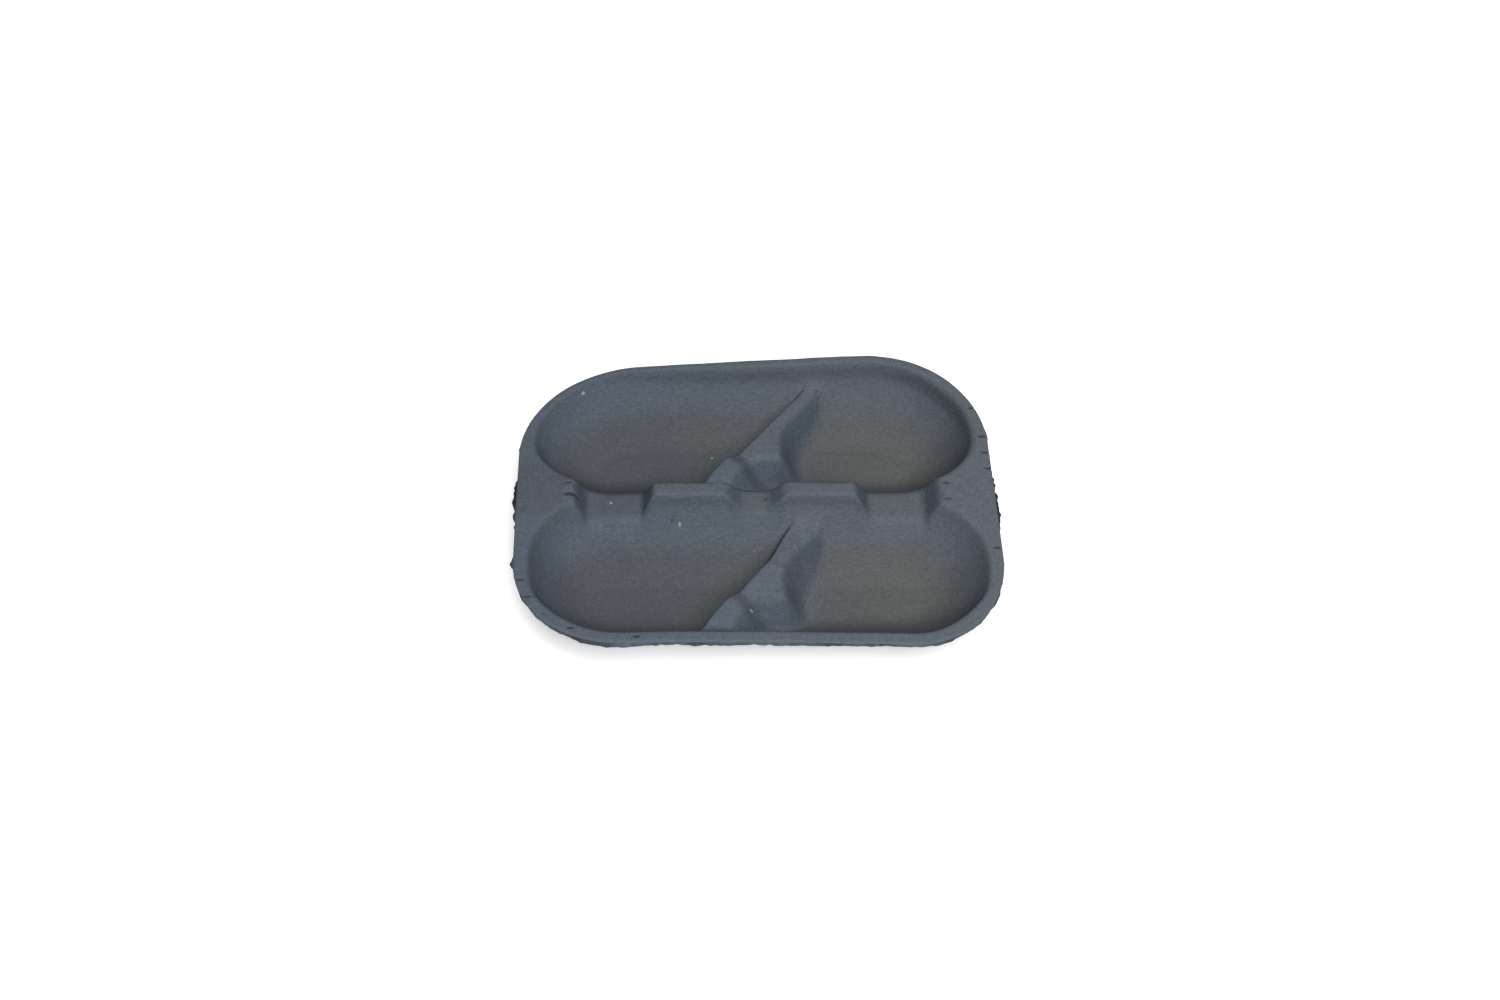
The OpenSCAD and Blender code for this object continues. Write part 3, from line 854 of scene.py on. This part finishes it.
# %% A material whose nodes come from one method
class Finish:
    def __init__(self, name):
        self.material = bpy.data.materials.new(name)
        self.material.use_nodes = True
        self.tree = self.material.node_tree
        self.tree.nodes.clear()

    def node(self, kind, settings=None, sockets=None):
        made = self.tree.nodes.new(kind)
        for key, value in (settings or {}).items():
            setattr(made, key, value)
        for key, value in (sockets or {}).items():
            self.feed(made.inputs[key], value)
        return made

    def feed(self, socket, value):
        if isinstance(value, Wire):
            value = value.socket
        if isinstance(value, bpy.types.NodeSocket):
            self.tree.links.new(value, socket)
        else:
            socket.default_value = value

    def wire(self, made, output=0):
        return Wire(self, made.outputs[output])

    def mix_colour(self, factor, first, second):
        mixed = self.node("ShaderNodeMix", {"data_type": "RGBA"}, {0: factor, 6: first, 7: second})
        return mixed.outputs[2]

    def ramp(self, value, low, high):
        made = self.node("ShaderNodeMapRange", {"interpolation_type": "SMOOTHSTEP"},
                         {"Value": value, "From Min": low, "From Max": high})
        return self.wire(made)

    def noise(self, where, scale, detail=2.0, rough=0.5):
        made = self.node("ShaderNodeTexNoise", None,
                         {"Vector": where, "Scale": scale, "Detail": detail, "Roughness": rough})
        return self.wire(made)

    def stretched(self, where, shares):
        made = self.node("ShaderNodeVectorMath", {"operation": "MULTIPLY"}, {0: where, 1: shares})
        return made.outputs[0]

    def show(self, shader):
        self.node("ShaderNodeOutputMaterial", None, {"Surface": shader.outputs[0]})


print("Finish makes any node from its type, settings and sockets")

# %% [markdown]
# ## The pulp's finish
# Dyed pulp is dark slate on the walls and rims, and a duller olive grey low on the floors.
# The right-hand flanks of the dividers, the sides of the notches and the flange's lower
# edge are painted a darker blue, as painted shade. The left of the tray is painted darker
# than the right, as painted shade. Up close it is a felt of fibres: no shine, fine pale and
# dark hairs, and a faint print of the wire screen. The print could be an image, but two
# noises, each stretched along one thread, give it at any size. Colour, roughness and bump
# all come from the same noises, so that they agree.

# %% Colours of the pulp, and sizes and shares of its noises
# Painted shade: each colour has a darker copy for the left of the tray and a lighter one for the right.
LEFT_SHADED_SLATE = (0.076, 0.095, 0.121, 1)
RIGHT_LIT_SLATE = (0.086, 0.100, 0.119, 1)
LEFT_SHADED_DULL = (0.062, 0.067, 0.074, 1)
RIGHT_LIT_DULL = (0.082, 0.085, 0.084, 1)
PALE = (0.150, 0.170, 0.190, 1)
# Painted shade: darker blue for the dividers' right flanks and the notch sides.
SHADE_BLUE = (0.056, 0.074, 0.097, 1)
# Painted shade: darker blue for the flange's lower edge.
EDGE_SHADE_BLUE = (0.036, 0.050, 0.068, 1)
DARK = (0.040, 0.048, 0.060, 1)
STAIN = (0.022, 0.017, 0.014, 1)
FLECK = (0.42, 0.46, 0.48, 1)
CLOUD_SCALE = 45.0
FIBRE_SCALE = 1000.0
GRAIN_SCALE = 2100.0
THREAD_SCALE = 1500.0
ALONG_X = (0.25, 1.0, 0.6)
ALONG_Y = (1.0, 0.25, 0.6)
SHADE_RAMP = (-0.03, 0.09)
SHADE_CLOUD = 0.06
DULL_CLOUD = 0.3
SHADE_SHARE = 0.85
SCREEN_RAMP = (0.5, 0.66)
FIBRE_RAMP = (0.5, 0.78)
GRAIN_RAMP = (0.48, 0.75)
PALE_PRINT = 0.2
DULL_PRINT = 0.08
DARK_PRINT = 0.3
PALE_HAIR = 0.3
DARK_GRAIN = 0.4
FELT_STRENGTH = 0.7
FELT_DEPTH = 0.0003
print("fibres about", round(1000 / FIBRE_SCALE, 1), "mm across")


# %% Pulp
def pulp_finish():
    pulp = Finish("pulp")
    place = pulp.node("ShaderNodeTexCoord").outputs["Object"]
    # deep and edge hold painted shade.
    dull, deep, edge, stain, fleck = (
        pulp.wire(pulp.node("ShaderNodeAttribute", {"attribute_name": name}), "Fac")
        for name in ("dull", "deep", "edge", "stain", "fleck"))
    side = pulp.wire(pulp.node("ShaderNodeSeparateXYZ", None, {0: place}), "X")
    cloud = pulp.noise(place, CLOUD_SCALE, 3.0)
    fibre = pulp.noise(place, FIBRE_SCALE, 3.0, 0.7)
    grain = pulp.noise(place, GRAIN_SCALE, 2.0, 0.6)
    warp_thread = pulp.noise(pulp.stretched(place, ALONG_X), THREAD_SCALE, 1.0)
    weft_thread = pulp.noise(pulp.stretched(place, ALONG_Y), THREAD_SCALE, 1.0)
    screen = (warp_thread + weft_thread) * 0.5
    # Painted shade: the share of the lighter right-hand copies grows from left to right.
    lit_from_right = pulp.ramp(side + cloud * SHADE_CLOUD, *SHADE_RAMP)
    slate = pulp.mix_colour(lit_from_right, LEFT_SHADED_SLATE, RIGHT_LIT_SLATE)
    dulled = pulp.mix_colour(lit_from_right, LEFT_SHADED_DULL, RIGHT_LIT_DULL)
    dullness = pulp.ramp(dull + cloud * DULL_CLOUD - DULL_CLOUD / 2, 0.0, 1.0)
    body = pulp.mix_colour(dullness, slate, dulled)
    # Painted shade on the dividers' right flanks and the notch sides.
    shade_painted = pulp.mix_colour(deep * SHADE_SHARE, body, SHADE_BLUE)
    # Painted shade on the flange's lower edge.
    edge_shaded = pulp.mix_colour(edge * SHADE_SHARE, shade_painted, EDGE_SHADE_BLUE)
    pale_print = pulp.ramp(screen, *SCREEN_RAMP) * (PALE_PRINT - DULL_PRINT * dull)
    printed = pulp.mix_colour(pale_print, edge_shaded, PALE)
    paled = pulp.mix_colour(pulp.ramp(fibre, *FIBRE_RAMP) * PALE_HAIR, printed, PALE)
    darkened = pulp.mix_colour(pulp.ramp(1 - screen, *SCREEN_RAMP) * DARK_PRINT, paled, DARK)
    grained = pulp.mix_colour(pulp.ramp(1 - grain, *GRAIN_RAMP) * DARK_GRAIN, darkened, DARK)
    stained = pulp.mix_colour(stain, grained, STAIN)
    colour = pulp.mix_colour(fleck, stained, FLECK)
    felt = pulp.node("ShaderNodeBump", None, {
        "Strength": FELT_STRENGTH, "Distance": FELT_DEPTH,
        "Height": fibre * 0.6 + grain * 0.4 + screen * 0.5})
    shader = pulp.node("ShaderNodeBsdfPrincipled", None, {
        "Base Color": colour, "Roughness": 0.82 + fibre * 0.15, "Normal": felt.outputs[0],
        "Specular IOR Level": 0.25})
    pulp.show(shader)
    return pulp.material


tray.data.materials.append(pulp_finish())
print("pulp finish has", len(tray.data.materials[0].node_tree.nodes), "nodes")

# %% [markdown]
# ## Floor, lights and camera
# The tray stands on a plain pale floor, which glows a little so that shadows stay faint,
# as on a light table. A wide soft key light stands in front and above, and a weaker one
# hangs overhead. There is hardly any light from all round, so steep walls that face
# away turn dark while level places stay light.

# %% Floor
FLOOR_HALF = 3000.0
FLOOR_GREY = (0.93, 0.93, 0.93, 1)
FLOOR_PALE = (0.95, 0.95, 0.95, 1)
WHITE = (1, 1, 1, 1)
FLOOR_GLOW = 0.3


def floor_finish():
    paint = Finish("floor_paint")
    place = paint.node("ShaderNodeTexCoord").outputs["Object"]
    shade = paint.noise(place, 3.0)
    colour = paint.mix_colour(shade, FLOOR_GREY, FLOOR_PALE)
    paint.show(paint.node("ShaderNodeBsdfPrincipled", None, {
        "Base Color": colour, "Roughness": 0.9,
        "Emission Color": WHITE, "Emission Strength": FLOOR_GLOW}))
    return paint.material


corners = np.array([(-1, -1, 0), (1, -1, 0), (1, 1, 0), (-1, 1, 0)]) * FLOOR_HALF
floor = mesh_piece("floor", corners, np.array([(0, 1, 2), (0, 2, 3)]))
floor.data.materials.append(floor_finish())
print("floor reaches", FLOOR_HALF * MM, "m to each side")

# %% Lights
KEY_PLACE = (0.15, -0.95, 1.4)
KEY_SIZE = 1.0
KEY_POWER = 31
TOP_PLACE = (0, -0.1, 1.8)
TOP_SIZE = 1.4
TOP_POWER = 12
ROUND_STRENGTH = 0.05


def soft_light(name, place, size, power):
    """A round area light that points at the tray."""
    lamp = bpy.data.lights.new(name, "AREA")
    lamp.shape = "DISK"
    lamp.size = size
    lamp.energy = power
    light = bpy.data.objects.new(name, lamp)
    light.location = place
    light.rotation_euler = (-Vector(place)).to_track_quat("-Z", "Y").to_euler()
    bpy.context.scene.collection.objects.link(light)


soft_light("key_light", KEY_PLACE, KEY_SIZE, KEY_POWER)
soft_light("top_light", TOP_PLACE, TOP_SIZE, TOP_POWER)
world = bpy.data.worlds.new("studio")
bpy.context.scene.world = world
world.use_nodes = True
surround = world.node_tree.nodes["Background"]
surround.inputs["Color"].default_value = WHITE
surround.inputs["Strength"].default_value = ROUND_STRENGTH
bpy.context.scene.view_settings.view_transform = "Standard"
print("key light of", KEY_POWER, "W, top light of", TOP_POWER, "W")

# %% [markdown]
# The camera looks down at the tray by about 51 degrees, as in the photograph. Its place
# follows from its distance to the tray and two small slides across its view, and its
# lens from a focal length in pixels of an image 1500 wide. The roll and the yaw turn
# the tray in the picture by the few degrees that the photograph shows.

# %% Camera
IMAGE_W = 1500
SENSOR = 36.0
ELEVATION = math.radians(51)
ROLL = math.radians(-1.81)
YAW = math.radians(3.7)
FOCAL_PX = 1874.0
DISTANCE = 793.5
SLIDE_X = 2.61
SLIDE_Y = -16.0

right = Vector((1, 0, 0))
up = Vector((0, math.sin(ELEVATION), math.cos(ELEVATION)))
ahead = Vector((0, math.cos(ELEVATION), -math.sin(ELEVATION)))
eye = (-SLIDE_X * right - SLIDE_Y * up - DISTANCE * ahead) * MM
rolled_right = math.cos(ROLL) * right - math.sin(ROLL) * up
rolled_up = math.sin(ROLL) * right + math.cos(ROLL) * up
pose = Matrix((rolled_right, rolled_up, -ahead)).transposed().to_4x4()
pose.translation = eye
lens = bpy.data.cameras.new("camera")
lens.sensor_width = SENSOR
lens.lens = FOCAL_PX / IMAGE_W * SENSOR
camera = bpy.data.objects.new("camera", lens)
camera.matrix_world = Matrix.Rotation(-YAW, 4, "Z") @ pose
bpy.context.scene.collection.objects.link(camera)
bpy.context.scene.camera = camera
print("camera at", [round(v, 3) for v in camera.matrix_world.translation])

# %% Finish
bpy.context.view_layer.update()
